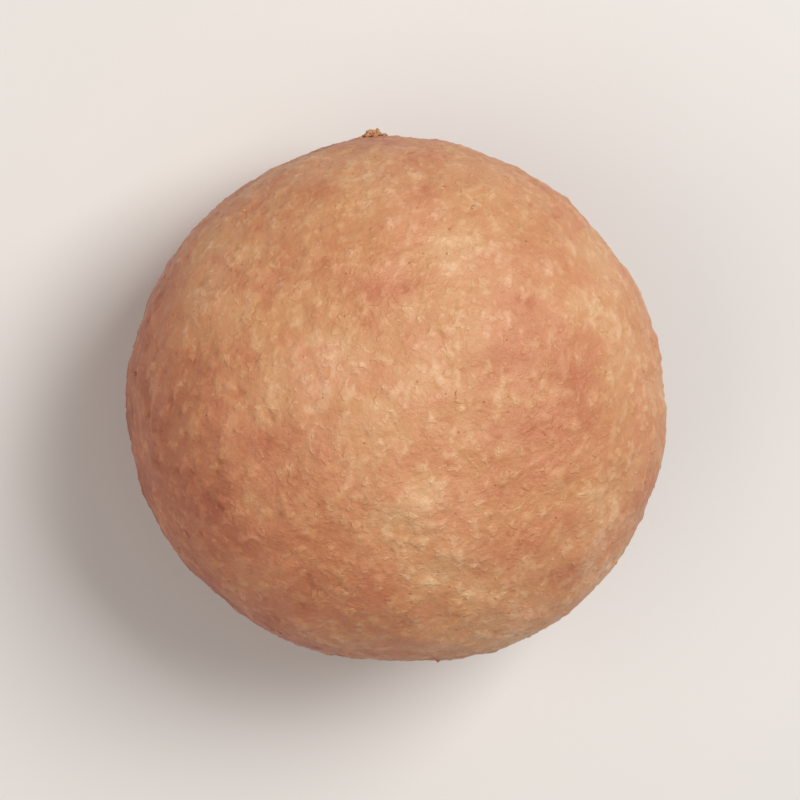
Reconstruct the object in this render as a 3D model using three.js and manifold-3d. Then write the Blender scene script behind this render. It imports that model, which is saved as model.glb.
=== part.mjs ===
// A small round mooncake: a ball of short dough, flattened by its own weight and baked whole on its flat base.
// It is one closed solid in millimetres, +Z up. The base lies at z = 0 and the outline is centred on the origin.
import * as THREE from "three";
import { SimplexNoise } from "three/addons/math/SimplexNoise.js";
import { mergeVertices } from "three/addons/utils/BufferGeometryUtils.js";
import Module from "manifold-3d";

// Main sizes
const ACROSS = 50; // the round outline seen from above
const HIGH = 35.5; // from the flat base to the crown
const WIDEST_AT = 16.3; // height of the widest ring
const FOOT_DEPTH = 18; // the lower curve would close this far below the widest ring, under the flat base

// Fullness of the side curves: 2 is an ellipse, more is nearer to a box
const CROWN_FULLNESS = 2.15;
const FOOT_FULLNESS = 2.6;

// The hand-rolled ball is not a true circle, and its crown leans a little
const OUTLINE_WAVES = [
  { lobes: 2, height: 0.4, start: 0.6 },
  { lobes: 3, height: 0.22, start: 2.1 },
  { lobes: 5, height: 0.08, start: 4.4 },
];
const CROWN_LEAN = new THREE.Vector2(0.7, -0.5);

// Relief of the crust. A wave's size is the distance over which it rises and falls.
const WAVES = [
  { size: 15, height: 0.2 },
  { size: 6.5, height: 0.15 },
  { size: 3.4, height: 0.09 },
];
const DENTS = { count: 5, radius: [9, 14], height: [-0.4, -0.15] };
const BLISTERS = { count: 64, radius: [1.7, 3.2], height: [0.1, 0.26] };

// The dough is gathered underneath, which leaves short pleats round the foot, and one fold runs up the side
const PLEATS = { count: 19, shift: 0.36, halfWidth: [1.1, 1.8], depth: [0.2, 0.55], top: [5.5, 9.5] };
const FOLD = { angle: 3.9, halfWidth: 1.9, depth: 0.3, top: 21 };
const GROOVES_START = [6, 12]; // distances from the axis between which pleats and fold reach their full depth

// Making of the mesh
const FINENESS = 20; // each of the ball's twenty faces becomes (FINENESS + 1) squared triangles
const SAME_CORNER = 1e-4; // corners of a ball of radius 1 nearer than this are one
const BASE_SNAP = 0.2; // a corner this near the base plane is put on it, so that the cut leaves no slivers
const SEED = 29;

const random = seededRandom(SEED);
const noise = new SimplexNoise({ random });

// A generator of even numbers from 0 to 1, which gives the same series each time.
function seededRandom(seed) {
  let state = seed;
  return () => {
    state = (state * 1664525 + 1013904223) % 4294967296;
    return state / 4294967296;
  };
}

function between([low, high]) {
  return low + (high - low) * random();
}

function randomDirection() {
  const upward = between([-1, 1]);
  const turn = between([0, 2 * Math.PI]);
  const across = Math.sqrt(1 - upward * upward);
  return new THREE.Vector3(across * Math.cos(turn), across * Math.sin(turn), upward);
}

// How far the outline stands out of the plain circle at an angle round the axis.
function outlineWave(angle) {
  return OUTLINE_WAVES.reduce((sum, { lobes, height, start }) => sum + height * Math.cos(lobes * angle + start), 0);
}

// The point of the plain bun in one direction from the middle of its widest ring.
function bunPoint(direction) {
  const upward = direction.z > 0;
  const radius = ACROSS / 2 + outlineWave(Math.atan2(direction.y, direction.x));
  const depth = upward ? HIGH - WIDEST_AT : FOOT_DEPTH;
  const fullness = upward ? CROWN_FULLNESS : FOOT_FULLNESS;
  const sideways = Math.hypot(direction.x, direction.y) / radius;
  const upright = Math.abs(direction.z) / depth;
  const reach = (sideways ** fullness + upright ** fullness) ** (-1 / fullness);
  return direction.clone().multiplyScalar(reach);
}

// Seeded round spots on the bun: dents where the height is below zero, blisters where it is above.
function makeSpots({ count, radius, height }) {
  return Array.from({ length: count }, () => ({
    centre: bunPoint(randomDirection()),
    radius: between(radius),
    height: between(height),
  }));
}

function spotRelief(point, { centre, radius, height }) {
  const part = point.distanceTo(centre) / radius;
  return part < 1 ? height * (0.5 + 0.5 * Math.cos(Math.PI * part)) : 0;
}

function waveRelief(point, { size, height }) {
  return height * noise.noise3d(point.x / size, point.y / size, point.z / size);
}

// Grooves round the foot, spaced unevenly, and the one fold.
function makeGrooves() {
  const step = (2 * Math.PI) / PLEATS.count;
  const pleats = Array.from({ length: PLEATS.count }, (_, i) => ({
    angle: step * (i + between([-PLEATS.shift, PLEATS.shift])),
    halfWidth: between(PLEATS.halfWidth),
    depth: between(PLEATS.depth),
    top: between(PLEATS.top),
  }));
  return [...pleats, FOLD];
}

// A groove runs up the side at one angle. It is deepest at the foot, and gone at its top and near the axis.
function grooveRelief(point, { angle, halfWidth, depth, top }) {
  const turn = Math.atan2(point.y, point.x) - angle;
  const fromAxis = Math.hypot(point.x, point.y);
  const sideways = Math.atan2(Math.sin(turn), Math.cos(turn)) * fromAxis;
  const upward = THREE.MathUtils.clamp(1 - (point.z + WIDEST_AT) / top, 0, 1);
  const outward = THREE.MathUtils.smoothstep(fromAxis, ...GROOVES_START);
  return -depth * outward * Math.sqrt(upward) * Math.exp(-((sideways / halfWidth) ** 2));
}

// Only positions are kept, so that corners shared by several faces become one.
function withSharedCorners(geometry) {
  geometry.deleteAttribute("normal");
  geometry.deleteAttribute("uv");
  return mergeVertices(geometry, SAME_CORNER);
}

// The bun with its relief, still closed below by the round of its lower curve.
function makeBall() {
  const spots = [...makeSpots(DENTS), ...makeSpots(BLISTERS)];
  const grooves = makeGrooves();
  const geometry = withSharedCorners(new THREE.IcosahedronGeometry(1, FINENESS));
  const position = geometry.getAttribute("position");
  const direction = new THREE.Vector3();
  for (let i = 0; i < position.count; i++) {
    direction.fromBufferAttribute(position, i).normalize();
    const point = bunPoint(direction);
    let relief = 0;
    for (const wave of WAVES) relief += waveRelief(point, wave);
    for (const spot of spots) relief += spotRelief(point, spot);
    for (const groove of grooves) relief += grooveRelief(point, groove);
    point.addScaledVector(direction, relief);
    point.z += WIDEST_AT;
    const lean = Math.max(0, point.z / HIGH) ** 2;
    point.x += CROWN_LEAN.x * lean;
    point.y += CROWN_LEAN.y * lean;
    if (Math.abs(point.z) < BASE_SNAP) point.z = 0;
    position.setXYZ(i, point.x, point.y, point.z);
  }
  return geometry;
}

function toSolid(wasm, geometry) {
  return new wasm.Manifold(
    new wasm.Mesh({
      numProp: 3,
      vertProperties: new Float32Array(geometry.getAttribute("position").array),
      triVerts: new Uint32Array(geometry.index.array),
    }),
  );
}

function toGeometry(solid) {
  const { vertProperties, triVerts } = solid.getMesh();
  const geometry = new THREE.BufferGeometry();
  geometry.setAttribute("position", new THREE.BufferAttribute(vertProperties, 3));
  geometry.setIndex(new THREE.BufferAttribute(triVerts, 1));
  return geometry;
}

// The ball with all that is under the base plane cut away.
async function cutFlatBelow(ball) {
  const wasm = await Module();
  wasm.setup();
  const under = new THREE.BoxGeometry(2 * ACROSS, 2 * ACROSS, HIGH).translate(0, 0, -HIGH / 2);
  return toGeometry(toSolid(wasm, ball).subtract(toSolid(wasm, withSharedCorners(under))));
}

// Brings the outline to its stated size and onto the axis, with the base left at z = 0.
function trueUp(geometry) {
  geometry.computeBoundingBox();
  const size = geometry.boundingBox.getSize(new THREE.Vector3());
  const middle = geometry.boundingBox.getCenter(new THREE.Vector3());
  const widen = (2 * ACROSS) / (size.x + size.y);
  geometry.translate(-middle.x, -middle.y, 0);
  geometry.scale(widen, widen, HIGH / size.z);
  geometry.computeVertexNormals();
  return geometry;
}

const crust = new THREE.MeshStandardMaterial({ color: "#cf9a70", roughness: 0.55, metalness: 0 });
const mooncake = new THREE.Mesh(trueUp(await cutFlatBelow(makeBall())), crust);
mooncake.name = "mooncake";

const part = new THREE.Group();
part.add(mooncake);

export default part;
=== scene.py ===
import bmesh
import bpy
from mathutils import Matrix, Vector


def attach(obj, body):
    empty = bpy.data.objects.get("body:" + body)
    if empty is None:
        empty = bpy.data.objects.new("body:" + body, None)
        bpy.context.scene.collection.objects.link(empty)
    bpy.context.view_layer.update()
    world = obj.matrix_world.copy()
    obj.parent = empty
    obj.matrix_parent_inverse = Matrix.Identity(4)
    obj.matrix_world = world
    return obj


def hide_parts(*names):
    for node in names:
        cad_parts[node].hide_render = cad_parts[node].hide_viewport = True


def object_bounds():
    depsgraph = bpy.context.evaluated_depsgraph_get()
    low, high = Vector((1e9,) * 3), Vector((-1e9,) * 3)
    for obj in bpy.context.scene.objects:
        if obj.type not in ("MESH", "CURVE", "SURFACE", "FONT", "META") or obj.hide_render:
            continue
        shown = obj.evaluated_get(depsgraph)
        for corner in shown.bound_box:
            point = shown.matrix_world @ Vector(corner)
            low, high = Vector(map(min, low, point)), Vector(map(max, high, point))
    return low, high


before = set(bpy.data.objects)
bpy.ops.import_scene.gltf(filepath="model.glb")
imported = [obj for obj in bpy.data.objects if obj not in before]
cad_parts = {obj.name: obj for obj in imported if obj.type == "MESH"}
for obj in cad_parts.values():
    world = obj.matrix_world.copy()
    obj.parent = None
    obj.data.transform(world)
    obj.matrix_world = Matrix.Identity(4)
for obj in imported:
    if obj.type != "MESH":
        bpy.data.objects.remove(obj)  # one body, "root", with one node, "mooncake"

# A small round mooncake of baked short dough, resting on its flat base and seen from above.
# Lengths are in metres, so most of them are written as millimetres times MM. Angles are in radians.

MM = 0.001
cad_low, cad_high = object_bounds()
HIGH = cad_high.z
MIDDLE = Vector((0, 0, HIGH / 2))

# The bun's own solid, joined and rounded
SAME_CORNER = 0.001 * MM  # corners nearer to each other than this are one
BASE_FLATNESS = 0.01 * MM  # faces that lie wholly below this height are the base
CRUST_SPLITS = 2  # how often each face is split into smaller, rounder ones

# Relief of the crust
# An edge holds two noise values: a form is absent at the first and has its full height at the second.
RELIEF = {
    "Swell Size": 3.2 * MM,
    "Swell Height": 0.36 * MM,
    "Lump Size": 1.2 * MM,
    "Lump Height": 0.25 * MM,
    "Blister Size": 1.35 * MM,
    "Blister Height": 0.09 * MM,
    "Dash Size": 1.1 * MM,
    "Dash Length": 2.2,
    "Dash Height": 0.07 * MM,
    "Pit Size": 1.3 * MM,
    "Pit Depth": 0.1 * MM,
}
BLISTER_EDGE = (0.55, 0.65)
DASH_EDGE = (0.57, 0.68)
DASH_TURN = 0.35
PIT_EDGE = (0.6, 0.72)
PITS_ASIDE = (HIGH, 0, 0)  # the pits read the noise this far away, so that they don't follow the blisters
RELIEF_STARTS = (0.3 * MM, 2.5 * MM)  # heights over which the relief grows, so that the base stays flat

# Flakes of lifted skin. Each is a low cone with its top cut off, and its rim lies well under the crust.
FLAKES = {
    "Density": 45000.0,
    "Tuft Density": 0.0,
    "Half Length": 0.65 * MM,
    "Thickness": 0.24 * MM,
    "Seed": 7,
}
FLAKE_SHAPES = 5
FLAKE_CORNERS = 11
FLAKE_TOP = 0.62  # its top is this share of its rim
FLAKE_SUNK = (0, 0, -0.22 * MM)
FLAKE_LUMP_SIZE = 0.5 * MM
FLAKE_PUSH = (1.1 * MM, 1.1 * MM, 0.15 * MM)  # its corners are pushed about over this span
FLAKE_SCALES = ((0.6, 0.5, 0.8), (1.5, 1.2, 1.2))  # the smallest and the largest, along each side

# Crumbs, lying singly and gathered in one small tuft at the edge
CRUMBS = {
    "Density": 10000.0,
    "Tuft Density": 26.0e6,
    "Half Width": 0.22 * MM,
    "Seed": 12,
}
CRUMB_SHAPES = 4
CRUMB_ROUNDNESS = 2  # a ball of 80 faces
CRUMB_LIFT = (0, 0, 0.06 * MM)
CRUMB_LUMP_SIZE = 0.25 * MM
CRUMB_PUSH = (0.8 * MM, 0.8 * MM, 0.5 * MM)
CRUMB_SCALES = ((0.3, 0.3, 0.2), (1.0, 0.9, 0.7))
TUFT_PLACE = Vector((-2, 24.9, 14.5)) * MM
TUFT_REACH = 1.5 * MM
TUFT_GROWTH = 0.8  # the tuft's crumbs are larger than the others by up to this share
TUFT_HEIGHT = 0.85 * MM  # its crumbs are piled up to this high

# How flakes and crumbs are scattered
LOOSE_FROM = 1.2 * MM  # none lies lower than this
DRIFT_SIZE = 8 * MM
DRIFT_EDGE = (0.32, 0.62)
DRIFT_SHARES = (0.2, 1.0)  # how dense they are between the drifts and in them
SHAPE_STEP = 10.0  # the uneven shapes read noise this far apart
FULL_TURN = 6.283
TURN_DRAW, PICK_DRAW, SCALE_DRAW, HEIGHT_DRAW = 1, 2, 3, 4  # each random draw has a seed of its own

# A Random Value node's sockets for the lowest value, the highest value and the result
RANDOM_SOCKETS = {"FLOAT_VECTOR": (0, 1, 0), "FLOAT": (2, 3, 1), "INT": (4, 5, 2)}

# Colours of the dough, from hardly baked to the deepest brown, which is reached near the foot and on the
# side with painted shade
DOUGH_COLOURS = {
    "Pale": (0.80, 0.50, 0.28, 1),
    "Golden": (0.66, 0.325, 0.15, 1),
    "Tan": (0.56, 0.213, 0.095, 1),
    "Brown": (0.37, 0.102, 0.045, 1),
    "Deep": (0.25, 0.06, 0.027, 1),
}
BROWNING_STEPS = (("Golden", 0.0, 0.33), ("Tan", 0.33, 0.62), ("Brown", 0.62, 1.0), ("Deep", 1.0, 1.5))
ROSY_TINT = (1.0, 0.92, 0.97, 1)
ROSY_SIZE = 5 * MM
ROSY_EDGE = (0.42, 0.68)

# How much each place is browned: the share of the belt, and what the others add to it. The foot's share
# is partly oven browning and partly painted shade round the rim. The shaded side's share is painted shade
# on the side away from the key light.
BROWNING = {"Belt": 0.38, "Crown": 0.04, "Foot": 0.48, "Shaded Side": 0.38, "Unevenness": 0.95}
CROWN_HEIGHTS = (0.6 * HIGH, 1.02 * HIGH)
# partly painted shade: the foot's browning reaches up past the widest ring, so the rim seen from above is
# darker; partly the real oven browning of the foot
FOOT_HEIGHTS = (0.85 * HIGH, 0.0)
SHADED_SIDE = Vector((-0.88, -0.48, 0))  # the side away from the key light, darkened with painted shade
SHADED_SIDE_STARTS = (5 * MM, 25 * MM)  # distances from the axis towards it, over which the painted shade grows darker
UNEVEN_SIZE = 13 * MM

# Grain of the dough
GRAIN = {
    "Sand Size": 0.42 * MM,
    "Patch Size": 3.4 * MM,
    "Speck Spacing": 0.95 * MM,
    "Pore Spacing": 1.2 * MM,
    "Fleck Size": 0.9 * MM,
}
FLECK_EDGE = (0.6, 0.66)
SPOT_TOP = 0.2  # the share of a spot's radius that is its flat top

# What each mark adds to the crust's browning, to its roughness and, in millimetres, to its height
FINE_PATCH_SIZE = 1.3 * MM
CRUST_BROWNING = {
    "patches": 0.55,
    "fine patches": 0.26,
    "sand": 0.2,
    "raised": -0.18,
    # painted shade: the pits and the pores are darkened as hollows that shade falls in
    "shaded_pits": 0.13,
    "specks": -0.1,
    "flecks": -0.11,
    "pores": 0.22,
}
CRUST_ROUGHNESS = 0.46
CRUST_DULLNESS = {"patches": 0.3, "raised": -0.08, "pores": 0.2}
CRUST_BUMPS = {"sand": 0.14, "fine patches": 0.14, "specks": 0.03, "flecks": 0.04, "pores": -0.07}

# Loose dough, which is paler than the crust that it lies on
LIFTED_SKIN = {"belt": 0.26, "sand_size": 0.35 * MM, "sand_share": 0.3, "roughness": 0.5}
BROKEN_CRUMB = {"belt": 0.12, "sand_size": 0.25 * MM, "sand_share": 0.4, "roughness": 0.75}
LOOSE_FOOT = 0.2
LOOSE_BUMP = 0.15 * MM

# The table
TABLE_HALF = 1.5  # half of its side
TABLE_DROP = -0.02 * MM  # just under the base, so that the two faces don't coincide
TABLE_PATCH_SIZE = 60 * MM
TABLE_EDGE = (0.2, 0.8)
TABLE_TONES = (0.80, 0.83)
TABLE_GREEN, TABLE_BLUE = 0.985, 0.96  # shares of the red, which make it slightly warm
TABLE_ROUGHNESS = 0.7
TABLE_GLOSS = 0.2

# The light, with its powers in watts
ROOM_COLOUR = (1.0, 0.97, 0.94, 1)
ROOM_STRENGTH = 0.25
KEY_LIGHT = {"place": (0.2, 0.16, 0.4), "size": 0.24, "power": 1.64, "colour": (1.0, 0.985, 0.96)}
FILL_LIGHT = {"place": (-0.35, -0.1, 0.35), "size": 0.45, "power": 0.84, "colour": (1.0, 0.9, 0.82)}

# The camera stands above the piece, a little to its left and beyond it
# Its sensor and lens are in millimetres.
SENSOR = 36
LENS = 150
CAMERA_SIDE = Vector((-66, 30, 400)).normalized()
PICTURE_WIDTH = 75 * MM


# Small helpers for node trees

def fill(tree, node, inputs):
    """Fills a node's inputs: a socket is linked, and anything else is a value."""
    for name, value in inputs.items():
        if isinstance(value, bpy.types.NodeSocket):
            tree.links.new(value, node.inputs[name])
        else:
            node.inputs[name].default_value = value
    return node


def add_node(tree, kind, inputs=None, **settings):
    node = tree.nodes.new(kind)
    for name, value in settings.items():
        setattr(node, name, value)
    return fill(tree, node, inputs or {})


def calc(tree, operation, *values):
    """The result of one Math node."""
    return add_node(tree, "ShaderNodeMath", dict(enumerate(values)), operation=operation).outputs[0]


def times(tree, a, b):
    return calc(tree, "MULTIPLY", a, b)


def total(tree, *values):
    result = values[0]
    for value in values[1:]:
        result = calc(tree, "ADD", result, value)
    return result


def weighed(tree, masks, shares):
    """A list of the masks that have a share, each times its share."""
    return [times(tree, masks[name], share) for name, share in shares.items()]


def centred(tree, value):
    """A value from 0 to 1 moved to lie round zero."""
    return calc(tree, "SUBTRACT", value, 0.5)


def vector(tree, operation, a, b):
    """The result of one Vector Math node. To scale a vector, b is a number."""
    second = "Scale" if operation == "SCALE" else 1
    return add_node(tree, "ShaderNodeVectorMath", {0: a, second: b}, operation=operation).outputs[0]


def measure(tree, operation, a, b):
    """The number that a Vector Math node finds from two vectors."""
    return add_node(tree, "ShaderNodeVectorMath", {0: a, 1: b}, operation=operation).outputs["Value"]


def height_of(tree, place):
    return add_node(tree, "ShaderNodeSeparateXYZ", {"Vector": place}).outputs["Z"]


def object_place(tree):
    return add_node(tree, "ShaderNodeTexCoord").outputs["Object"]


def mesh_place(tree):
    return add_node(tree, "GeometryNodeInputPosition").outputs[0]


def ramp(tree, value, start, end, low=0.0, high=1.0):
    """Low at start and high at end, with a soft curve between them."""
    inputs = {"Value": value, "From Min": start, "From Max": end, "To Min": low, "To Max": high}
    return add_node(tree, "ShaderNodeMapRange", inputs, interpolation_type="SMOOTHSTEP").outputs[0]


def mixed(tree, share, first, second, blend="MIX"):
    """A share of the second colour mixed into the first. Sockets 6 and 7 take a Mix node's colours."""
    inputs = {0: share, 6: first, 7: second}
    return add_node(tree, "ShaderNodeMix", inputs, data_type="RGBA", blend_type=blend).outputs[2]


def noise(tree, place, size, detail=2.0, roughness=0.5):
    """Soft noise from 0 to 1, with patches of about the given size."""
    scale = calc(tree, "DIVIDE", 1.0, size)
    inputs = {"Vector": place, "Scale": scale, "Detail": detail, "Roughness": roughness}
    return add_node(tree, "ShaderNodeTexNoise", inputs).outputs[0]


def spots(tree, place, spacing, smallest, largest, share):
    """Scattered round spots, 1 at their tops. A share of the cells has one, with its radius in cells."""
    scale = calc(tree, "DIVIDE", 1.0, spacing)
    cells = add_node(tree, "ShaderNodeTexVoronoi", {"Vector": place, "Scale": scale}).outputs
    chance = add_node(tree, "ShaderNodeSeparateXYZ", {"Vector": cells["Color"]}).outputs["X"]
    radius = ramp(tree, chance, 1 - share, 1.0, smallest, largest)
    there = calc(tree, "GREATER_THAN", chance, 1 - share)
    return times(tree, there, ramp(tree, cells["Distance"], radius, times(tree, radius, SPOT_TOP)))


def stretched(tree, place, turn, stretch):
    """The place turned about the upright axis, and shortened along its own Y to lengthen a pattern."""
    inputs = {"Vector": place, "Angle": turn}
    turned = add_node(tree, "ShaderNodeVectorRotate", inputs, rotation_type="Z_AXIS").outputs[0]
    shorter = {"X": 1.0, "Y": calc(tree, "DIVIDE", 1.0, stretch), "Z": 1.0}
    return vector(tree, "MULTIPLY", turned, add_node(tree, "ShaderNodeCombineXYZ", shorter).outputs[0])


SOCKETS = {float: "NodeSocketFloat", int: "NodeSocketInt", tuple: "NodeSocketColor"}


def new_tree(name, kind, inputs, outputs):
    """A node tree with named sockets. An input is given as its value, or as a type of socket."""
    tree = bpy.data.node_groups.new(name, kind)
    for label, value in inputs.items():
        socket_type = SOCKETS.get(type(value), value)
        socket = tree.interface.new_socket(label, in_out="INPUT", socket_type=socket_type)
        if socket_type != value:
            socket.default_value = value
    for label, socket_type in outputs.items():
        tree.interface.new_socket(label, in_out="OUTPUT", socket_type=socket_type)
    given = tree.nodes.new("NodeGroupInput").outputs
    result = tree.nodes.new("NodeGroupOutput")
    return tree, given, result


# Shader groups that the crust, its flakes and its crumbs share

def make_grain_group():
    """The grain of baked short dough: fine sand, soft patches, pale specks and flecks, small pores."""
    labels = ("Sand", "Patches", "Specks", "Flecks", "Pores")
    outputs = dict.fromkeys(labels, "NodeSocketFloat")
    tree, given, result = new_tree("Dough grain", "ShaderNodeTree", GRAIN, outputs)
    place = object_place(tree)
    fleck_noise = noise(tree, place, given["Fleck Size"], detail=1.5)
    masks = {
        "Sand": noise(tree, place, given["Sand Size"], detail=4.0, roughness=0.62),
        "Patches": noise(tree, place, given["Patch Size"], detail=4.0, roughness=0.6),
        "Specks": spots(tree, place, given["Speck Spacing"], smallest=0.1, largest=0.3, share=0.5),
        "Flecks": ramp(tree, fleck_noise, *FLECK_EDGE),
        "Pores": spots(tree, place, given["Pore Spacing"], smallest=0.05, largest=0.14, share=0.6),
    }
    fill(tree, result, masks)
    return tree


def make_browning_group():
    """How far each place is browned: the foot more than the rest, partly by the oven and partly as
    painted shade round the rim, and the side away from the key light darker as painted shade.
    """
    outputs = {"Browning": "NodeSocketFloat"}
    tree, given, result = new_tree("Oven browning", "ShaderNodeTree", BROWNING, outputs)
    place = object_place(tree)
    height = height_of(tree, place)
    crown = times(tree, ramp(tree, height, *CROWN_HEIGHTS), given["Crown"])
    foot = times(tree, ramp(tree, height, *FOOT_HEIGHTS), given["Foot"])
    # painted shade: the side away from the key light is browned darker
    towards_shade = measure(tree, "DOT_PRODUCT", place, SHADED_SIDE)
    side = times(tree, ramp(tree, towards_shade, *SHADED_SIDE_STARTS), given["Shaded Side"])
    patches = centred(tree, noise(tree, place, UNEVEN_SIZE, detail=1.5))
    uneven = times(tree, patches, given["Unevenness"])
    fill(tree, result, {"Browning": total(tree, given["Belt"], crown, foot, side, uneven)})
    return tree


def make_colour_group():
    """The colour of dough at a browning of 0 and up, with rosy patches."""
    inputs = {"Browning": BROWNING["Belt"], **DOUGH_COLOURS, "Rosy Tint": ROSY_TINT}
    outputs = {"Colour": "NodeSocketColor"}
    tree, given, result = new_tree("Oven colour", "ShaderNodeTree", inputs, outputs)
    colour = given["Pale"]
    for label, start, end in BROWNING_STEPS:
        reached = {"Value": given["Browning"], "From Min": start, "From Max": end}
        share = add_node(tree, "ShaderNodeMapRange", reached).outputs[0]
        colour = mixed(tree, share, colour, given[label])
    rosy = ramp(tree, noise(tree, object_place(tree), ROSY_SIZE, detail=2.5), *ROSY_EDGE)
    tinted = mixed(tree, rosy, colour, given["Rosy Tint"], blend="MULTIPLY")
    fill(tree, result, {"Colour": tinted})
    return tree


grain_group = make_grain_group()
browning_group = make_browning_group()
colour_group = make_colour_group()


# Materials

def new_material(name):
    material = bpy.data.materials.new(name)
    material.use_nodes = True
    return material, material.node_tree, material.node_tree.nodes["Principled BSDF"]


def placed(tree, group, inputs=None):
    """The outputs of a shader group, placed in a material with its own values."""
    return add_node(tree, "ShaderNodeGroup", inputs, node_tree=group).outputs


def dough_colour(tree, browned):
    return placed(tree, colour_group, {"Browning": browned})["Colour"]


def bumped(tree, height, depth):
    """Normals that show a height as relief. The depth is the real size of a height of 1."""
    return add_node(tree, "ShaderNodeBump", {"Height": height, "Distance": depth}).outputs[0]


def make_crust_material():
    """Satin golden crust: patchy browning, pale raised skin, sandy grain, and small pores and pits
    darkened with painted shade.
    """
    material, tree, surface = new_material("baked crust")
    grain = placed(tree, grain_group)
    fine_grain = placed(tree, grain_group, {"Patch Size": FINE_PATCH_SIZE})
    masks = {
        "patches": centred(tree, grain["Patches"]),
        "fine patches": centred(tree, fine_grain["Patches"]),
        "sand": centred(tree, grain["Sand"]),
        "specks": grain["Specks"],
        "flecks": grain["Flecks"],
        "pores": grain["Pores"],
    }
    for name in ("raised", "shaded_pits"):
        masks[name] = add_node(tree, "ShaderNodeAttribute", attribute_name=name).outputs["Fac"]
    browning = placed(tree, browning_group)["Browning"]
    browned = total(tree, browning, *weighed(tree, masks, CRUST_BROWNING))
    look = {
        "Base Color": dough_colour(tree, browned),
        "Roughness": total(tree, CRUST_ROUGHNESS, *weighed(tree, masks, CRUST_DULLNESS)),
        "Normal": bumped(tree, total(tree, *weighed(tree, masks, CRUST_BUMPS)), MM),
    }
    fill(tree, surface, look)
    return material


def make_loose_material(name, belt, sand_size, sand_share, roughness):
    """Dough that lies loose on the crust, as lifted skin or as broken crumbs."""
    material, tree, surface = new_material(name)
    sand = placed(tree, grain_group, {"Sand Size": sand_size})["Sand"]
    # the browning group also gives loose dough its painted shade on the side away from the key light
    shares = {"Belt": belt, "Foot": LOOSE_FOOT}
    browning = placed(tree, browning_group, shares)["Browning"]
    browned = total(tree, browning, times(tree, centred(tree, sand), sand_share))
    look = {
        "Base Color": dough_colour(tree, browned),
        "Roughness": roughness,
        "Normal": bumped(tree, sand, LOOSE_BUMP),
    }
    fill(tree, surface, look)
    return material


def make_table_material():
    """A plain pale table top, with the faintest unevenness."""
    material, tree, surface = new_material("pale table")
    patches = noise(tree, object_place(tree), TABLE_PATCH_SIZE)
    tone = ramp(tree, patches, *TABLE_EDGE, *TABLE_TONES)
    warm = {0: tone, 1: times(tree, tone, TABLE_GREEN), 2: times(tree, tone, TABLE_BLUE)}
    look = {
        "Base Color": add_node(tree, "ShaderNodeCombineColor", warm).outputs[0],
        "Roughness": TABLE_ROUGHNESS,
        "Specular IOR Level": TABLE_GLOSS,
    }
    fill(tree, surface, look)
    return material


# Geometry Nodes trees

def new_shape_tree(name, sizes):
    """A tree that takes a mesh, sizes and a material, and gives a mesh."""
    inputs = {"Geometry": "NodeSocketGeometry", **sizes, "Material": "NodeSocketMaterial"}
    return new_tree(name, "GeometryNodeTree", inputs, {"Geometry": "NodeSocketGeometry"})


def close_tree(tree, given, result, shape, is_smooth=True):
    """Ends a tree: copies made real, shaded smooth or with crisp faces, and given their material."""
    real = add_node(tree, "GeometryNodeRealizeInstances", {"Geometry": shape}).outputs[0]
    shading = {"Geometry": real, "Shade Smooth": is_smooth}
    shaded = add_node(tree, "GeometryNodeSetShadeSmooth", shading).outputs[0]
    covering = {"Geometry": shaded, "Material": given["Material"]}
    done = add_node(tree, "GeometryNodeSetMaterial", covering).outputs[0]
    fill(tree, result, {"Geometry": done})
    return tree


def moved(tree, shape, offset):
    """The shape with each of its points moved by its own offset."""
    return add_node(tree, "GeometryNodeSetPosition", {"Geometry": shape, "Offset": offset}).outputs[0]


def make_crust_tree():
    """Turns the smooth bun into uneven crust, with blisters, short dashes of raised skin, and pits."""
    tree, given, result = new_shape_tree("Crust relief", RELIEF)
    place = mesh_place(tree)
    swell = centred(tree, noise(tree, place, given["Swell Size"]))
    lumps = centred(tree, noise(tree, place, given["Lump Size"], detail=1.0))
    blister_noise = noise(tree, place, given["Blister Size"], detail=2.5, roughness=0.6)
    blisters = ramp(tree, blister_noise, *BLISTER_EDGE)
    along = stretched(tree, place, DASH_TURN, given["Dash Length"])
    dashes = ramp(tree, noise(tree, along, given["Dash Size"], detail=1.5), *DASH_EDGE)
    aside = vector(tree, "ADD", place, PITS_ASIDE)
    pits = ramp(tree, noise(tree, aside, given["Pit Size"]), *PIT_EDGE)
    relief = total(
        tree,
        times(tree, swell, given["Swell Height"]),
        times(tree, lumps, given["Lump Height"]),
        times(tree, blisters, given["Blister Height"]),
        times(tree, dashes, given["Dash Height"]),
        times(tree, times(tree, pits, -1.0), given["Pit Depth"]),
    )
    clear = ramp(tree, height_of(tree, place), *RELIEF_STARTS)
    shape = given["Geometry"]
    # the pits' mask is stored for the crust's painted shade in them
    for name, mask in (("raised", calc(tree, "MAXIMUM", blisters, dashes)), ("shaded_pits", pits)):
        stored = {"Geometry": shape, "Name": name, "Value": times(tree, mask, clear)}
        shape = add_node(tree, "GeometryNodeStoreNamedAttribute", stored).outputs[0]
    normal = add_node(tree, "GeometryNodeInputNormal").outputs[0]
    lift = vector(tree, "SCALE", normal, times(tree, relief, clear))
    return close_tree(tree, given, result, moved(tree, shape, lift))


def uneven_shapes(tree, form, place, count, lump_size, push):
    """Several shapes of one form to pick from, each with its corners pushed about by its own noise."""
    joined = tree.nodes.new("GeometryNodeJoinGeometry")
    for number in range(count):
        pattern = {"Vector": place, "W": SHAPE_STEP * number, "Scale": 1 / lump_size, "Detail": 1.0}
        lumps = add_node(tree, "ShaderNodeTexNoise", pattern, noise_dimensions="4D").outputs["Color"]
        offset = vector(tree, "MULTIPLY", vector(tree, "SUBTRACT", lumps, (0.5, 0.5, 0.5)), push)
        shape = {"Geometry": moved(tree, form, offset)}
        one = add_node(tree, "GeometryNodeGeometryToInstance", shape).outputs[0]
        tree.links.new(one, joined.inputs[0])
    return joined.outputs[0]


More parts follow.
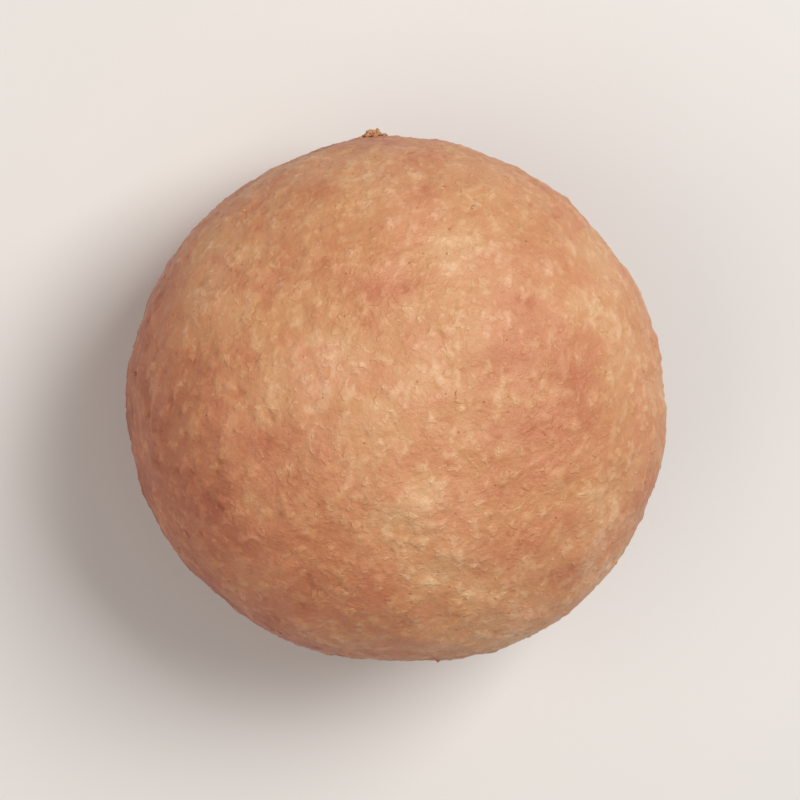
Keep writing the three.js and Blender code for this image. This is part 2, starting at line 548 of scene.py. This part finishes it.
def random_value(tree, given, kind, low, high, draw):
    """A random value for each point. The draw's number keeps it apart from the others."""
    lowest, highest, result = RANDOM_SOCKETS[kind]
    inputs = {lowest: low, highest: high, "Seed": calc(tree, "ADD", given["Seed"], float(draw))}
    return add_node(tree, "FunctionNodeRandomValue", inputs, data_type=kind).outputs[result]


def strewn(tree, given, place, tuft):
    """Points on the crust in loose drifts and in the tuft, none of them near the base."""
    drifts = ramp(tree, noise(tree, place, DRIFT_SIZE, detail=1.0), *DRIFT_EDGE, *DRIFT_SHARES)
    in_drifts = times(tree, given["Density"], drifts)
    in_tuft = times(tree, given["Tuft Density"], tuft)
    spread = {
        "Mesh": given["Geometry"],
        "Selection": calc(tree, "GREATER_THAN", height_of(tree, place), LOOSE_FROM),
        "Density": total(tree, in_drifts, in_tuft),
        "Seed": given["Seed"],
    }
    return add_node(tree, "GeometryNodeDistributePointsOnFaces", spread).outputs


def piled(tree, given, points, tuft):
    """The points, with those of the tuft raised off the crust, highest in its middle."""
    height = random_value(tree, given, "FLOAT", 0.0, TUFT_HEIGHT, HEIGHT_DRAW)
    rise = times(tree, times(tree, tuft, tuft), height)
    return moved(tree, points["Points"], vector(tree, "SCALE", points["Normal"], rise))


def laid_flat(tree, given, points):
    """Turns that lay each copy flat on the crust, facing any way."""
    turn = random_value(tree, given, "FLOAT", 0.0, FULL_TURN, TURN_DRAW)
    about_up = {"Axis": (0, 0, 1), "Angle": turn}
    spin = add_node(tree, "FunctionNodeAxisAngleToRotation", about_up).outputs[0]
    facing = {"Rotation": points["Rotation"], "Rotate By": spin}
    return add_node(tree, "FunctionNodeRotateRotation", facing, rotation_space="LOCAL").outputs[0]


def scatter(tree, given, shapes, count, scales):
    """Copies of small shapes laid on the mesh, each picked, turned and sized at random."""
    place = mesh_place(tree)
    tuft = ramp(tree, measure(tree, "DISTANCE", place, TUFT_PLACE), TUFT_REACH, 0.0)
    points = strewn(tree, given, place, tuft)
    size = random_value(tree, given, "FLOAT_VECTOR", *scales, SCALE_DRAW)
    growth = total(tree, 1.0, times(tree, tuft, TUFT_GROWTH))
    copies = {
        "Points": piled(tree, given, points, tuft),
        "Instance": shapes,
        "Pick Instance": True,
        "Instance Index": random_value(tree, given, "INT", 0, count - 1, PICK_DRAW),
        "Rotation": laid_flat(tree, given, points),
        "Scale": vector(tree, "SCALE", size, growth),
    }
    return add_node(tree, "GeometryNodeInstanceOnPoints", copies).outputs[0]


def shifted(tree, shape, offset):
    """The whole shape moved by one offset."""
    return add_node(tree, "GeometryNodeTransform", {"Geometry": shape, "Translation": offset}).outputs[0]


def make_flake_tree():
    """Thin uneven plates of lifted skin, lying on the crust."""
    tree, given, result = new_shape_tree("Skin flakes", FLAKES)
    size = {
        "Vertices": FLAKE_CORNERS,
        "Radius Top": times(tree, given["Half Length"], FLAKE_TOP),
        "Radius Bottom": given["Half Length"],
        "Depth": given["Thickness"],
    }
    plate = add_node(tree, "GeometryNodeMeshCone", size, fill_type="TRIANGLE_FAN").outputs[0]
    flat_place = vector(tree, "MULTIPLY", mesh_place(tree), (1, 1, 0))
    sunk = shifted(tree, plate, FLAKE_SUNK)
    shapes = uneven_shapes(tree, sunk, flat_place, FLAKE_SHAPES, FLAKE_LUMP_SIZE, FLAKE_PUSH)
    copies = scatter(tree, given, shapes, FLAKE_SHAPES, FLAKE_SCALES)
    return close_tree(tree, given, result, copies, is_smooth=False)


def make_crumb_tree():
    """Small uneven crumbs that cling to the crust."""
    tree, given, result = new_shape_tree("Crumbs", CRUMBS)
    size = {"Radius": given["Half Width"], "Subdivisions": CRUMB_ROUNDNESS}
    ball = add_node(tree, "GeometryNodeMeshIcoSphere", size).outputs[0]
    lifted = shifted(tree, ball, CRUMB_LIFT)
    shapes = uneven_shapes(tree, lifted, mesh_place(tree), CRUMB_SHAPES, CRUMB_LUMP_SIZE, CRUMB_PUSH)
    copies = scatter(tree, given, shapes, CRUMB_SHAPES, CRUMB_SCALES)
    return close_tree(tree, given, result, copies)


# Pieces

def new_piece(name, mesh):
    piece = bpy.data.objects.new(name, mesh)
    bpy.context.scene.collection.objects.link(piece)
    return piece


def run_tree(piece, tree, values):
    """Runs a tree on a piece with its inputs set, and leaves the result as a plain mesh."""
    modifier = piece.modifiers.new(tree.name, "NODES")
    modifier.node_group = tree
    for socket in tree.interface.items_tree:
        if socket.in_out == "INPUT" and socket.name in values:
            modifier[socket.identifier] = values[socket.name]
    graph = bpy.context.evaluated_depsgraph_get()
    mesh = bpy.data.meshes.new_from_object(
        piece.evaluated_get(graph), preserve_all_data_layers=True, depsgraph=graph
    )
    piece.modifiers.clear()
    piece.data = mesh
    mesh.name = piece.name
    return piece


def bun_mesh():
    """The bun's own solid as one joined skin, its flat base one face with a crisp edge."""
    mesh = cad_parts["mooncake"].data.copy()
    skin = bmesh.new()
    skin.from_mesh(mesh)
    bmesh.ops.remove_doubles(skin, verts=skin.verts, dist=SAME_CORNER)
    base = [face for face in skin.faces if max(corner.co.z for corner in face.verts) < BASE_FLATNESS]
    whole_base = bmesh.ops.dissolve_faces(skin, faces=base)["region"][0]
    crease = skin.edges.layers.float.new("crease_edge")
    for edge in whole_base.edges:
        edge[crease] = 1.0
        edge.smooth = False
    skin.to_mesh(mesh)
    skin.free()
    mesh.materials.clear()
    return mesh


def make_crust():
    crust = new_piece("crust", bun_mesh())
    rounding = crust.modifiers.new("rounding", "SUBSURF")
    rounding.levels = CRUST_SPLITS
    rounding.render_levels = CRUST_SPLITS
    return run_tree(crust, make_crust_tree(), {**RELIEF, "Material": make_crust_material()})


def make_flakes(crust):
    flakes = new_piece("flakes", crust.data.copy())
    skin = make_loose_material("lifted skin", **LIFTED_SKIN)
    return run_tree(flakes, make_flake_tree(), {**FLAKES, "Material": skin})


def make_crumbs(crust):
    crumbs = new_piece("crumbs", crust.data.copy())
    crumb = make_loose_material("broken crumb", **BROKEN_CRUMB)
    return run_tree(crumbs, make_crumb_tree(), {**CRUMBS, "Material": crumb})


crust = make_crust()
flakes = make_flakes(crust)
crumbs = make_crumbs(crust)
for piece in (crust, flakes, crumbs):
    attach(piece, "root")
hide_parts("mooncake")


# Table, light and camera

def make_table():
    signs = ((-1, -1), (1, -1), (1, 1), (-1, 1))
    corners = [(x * TABLE_HALF, y * TABLE_HALF, TABLE_DROP) for x, y in signs]
    mesh = bpy.data.meshes.new("table")
    mesh.from_pydata(corners, [], [(0, 1, 2, 3)])
    mesh.materials.append(make_table_material())
    new_piece("table", mesh)


def add_light(name, place, size, power, colour):
    """A soft square light that faces the middle of the piece."""
    light = bpy.data.lights.new(name, "AREA")
    light.size = size
    light.energy = power
    light.color = colour
    lamp = bpy.data.objects.new(name, light)
    lamp.location = place
    lamp.rotation_euler = (MIDDLE - Vector(place)).to_track_quat("-Z", "Y").to_euler()
    bpy.context.scene.collection.objects.link(lamp)


def make_light():
    world = bpy.data.worlds.new("soft room")
    world.use_nodes = True
    room = world.node_tree.nodes["Background"]
    room.inputs["Color"].default_value = ROOM_COLOUR
    room.inputs["Strength"].default_value = ROOM_STRENGTH
    bpy.context.scene.world = world
    add_light("key", **KEY_LIGHT)
    add_light("fill", **FILL_LIGHT)


def make_camera():
    data = bpy.data.cameras.new("camera")
    data.sensor_width = SENSOR
    data.lens = LENS
    camera = bpy.data.objects.new("camera", data)
    right = Vector((0, 1, 0)).cross(CAMERA_SIDE).normalized()
    facing = Matrix((right, CAMERA_SIDE.cross(right), CAMERA_SIDE)).transposed()
    camera.rotation_euler = facing.to_euler()
    camera.location = MIDDLE + CAMERA_SIDE * (PICTURE_WIDTH * LENS / SENSOR)
    bpy.context.scene.collection.objects.link(camera)
    bpy.context.scene.camera = camera


make_table()
make_light()
make_camera()
bpy.context.scene.view_settings.view_transform = "Standard"
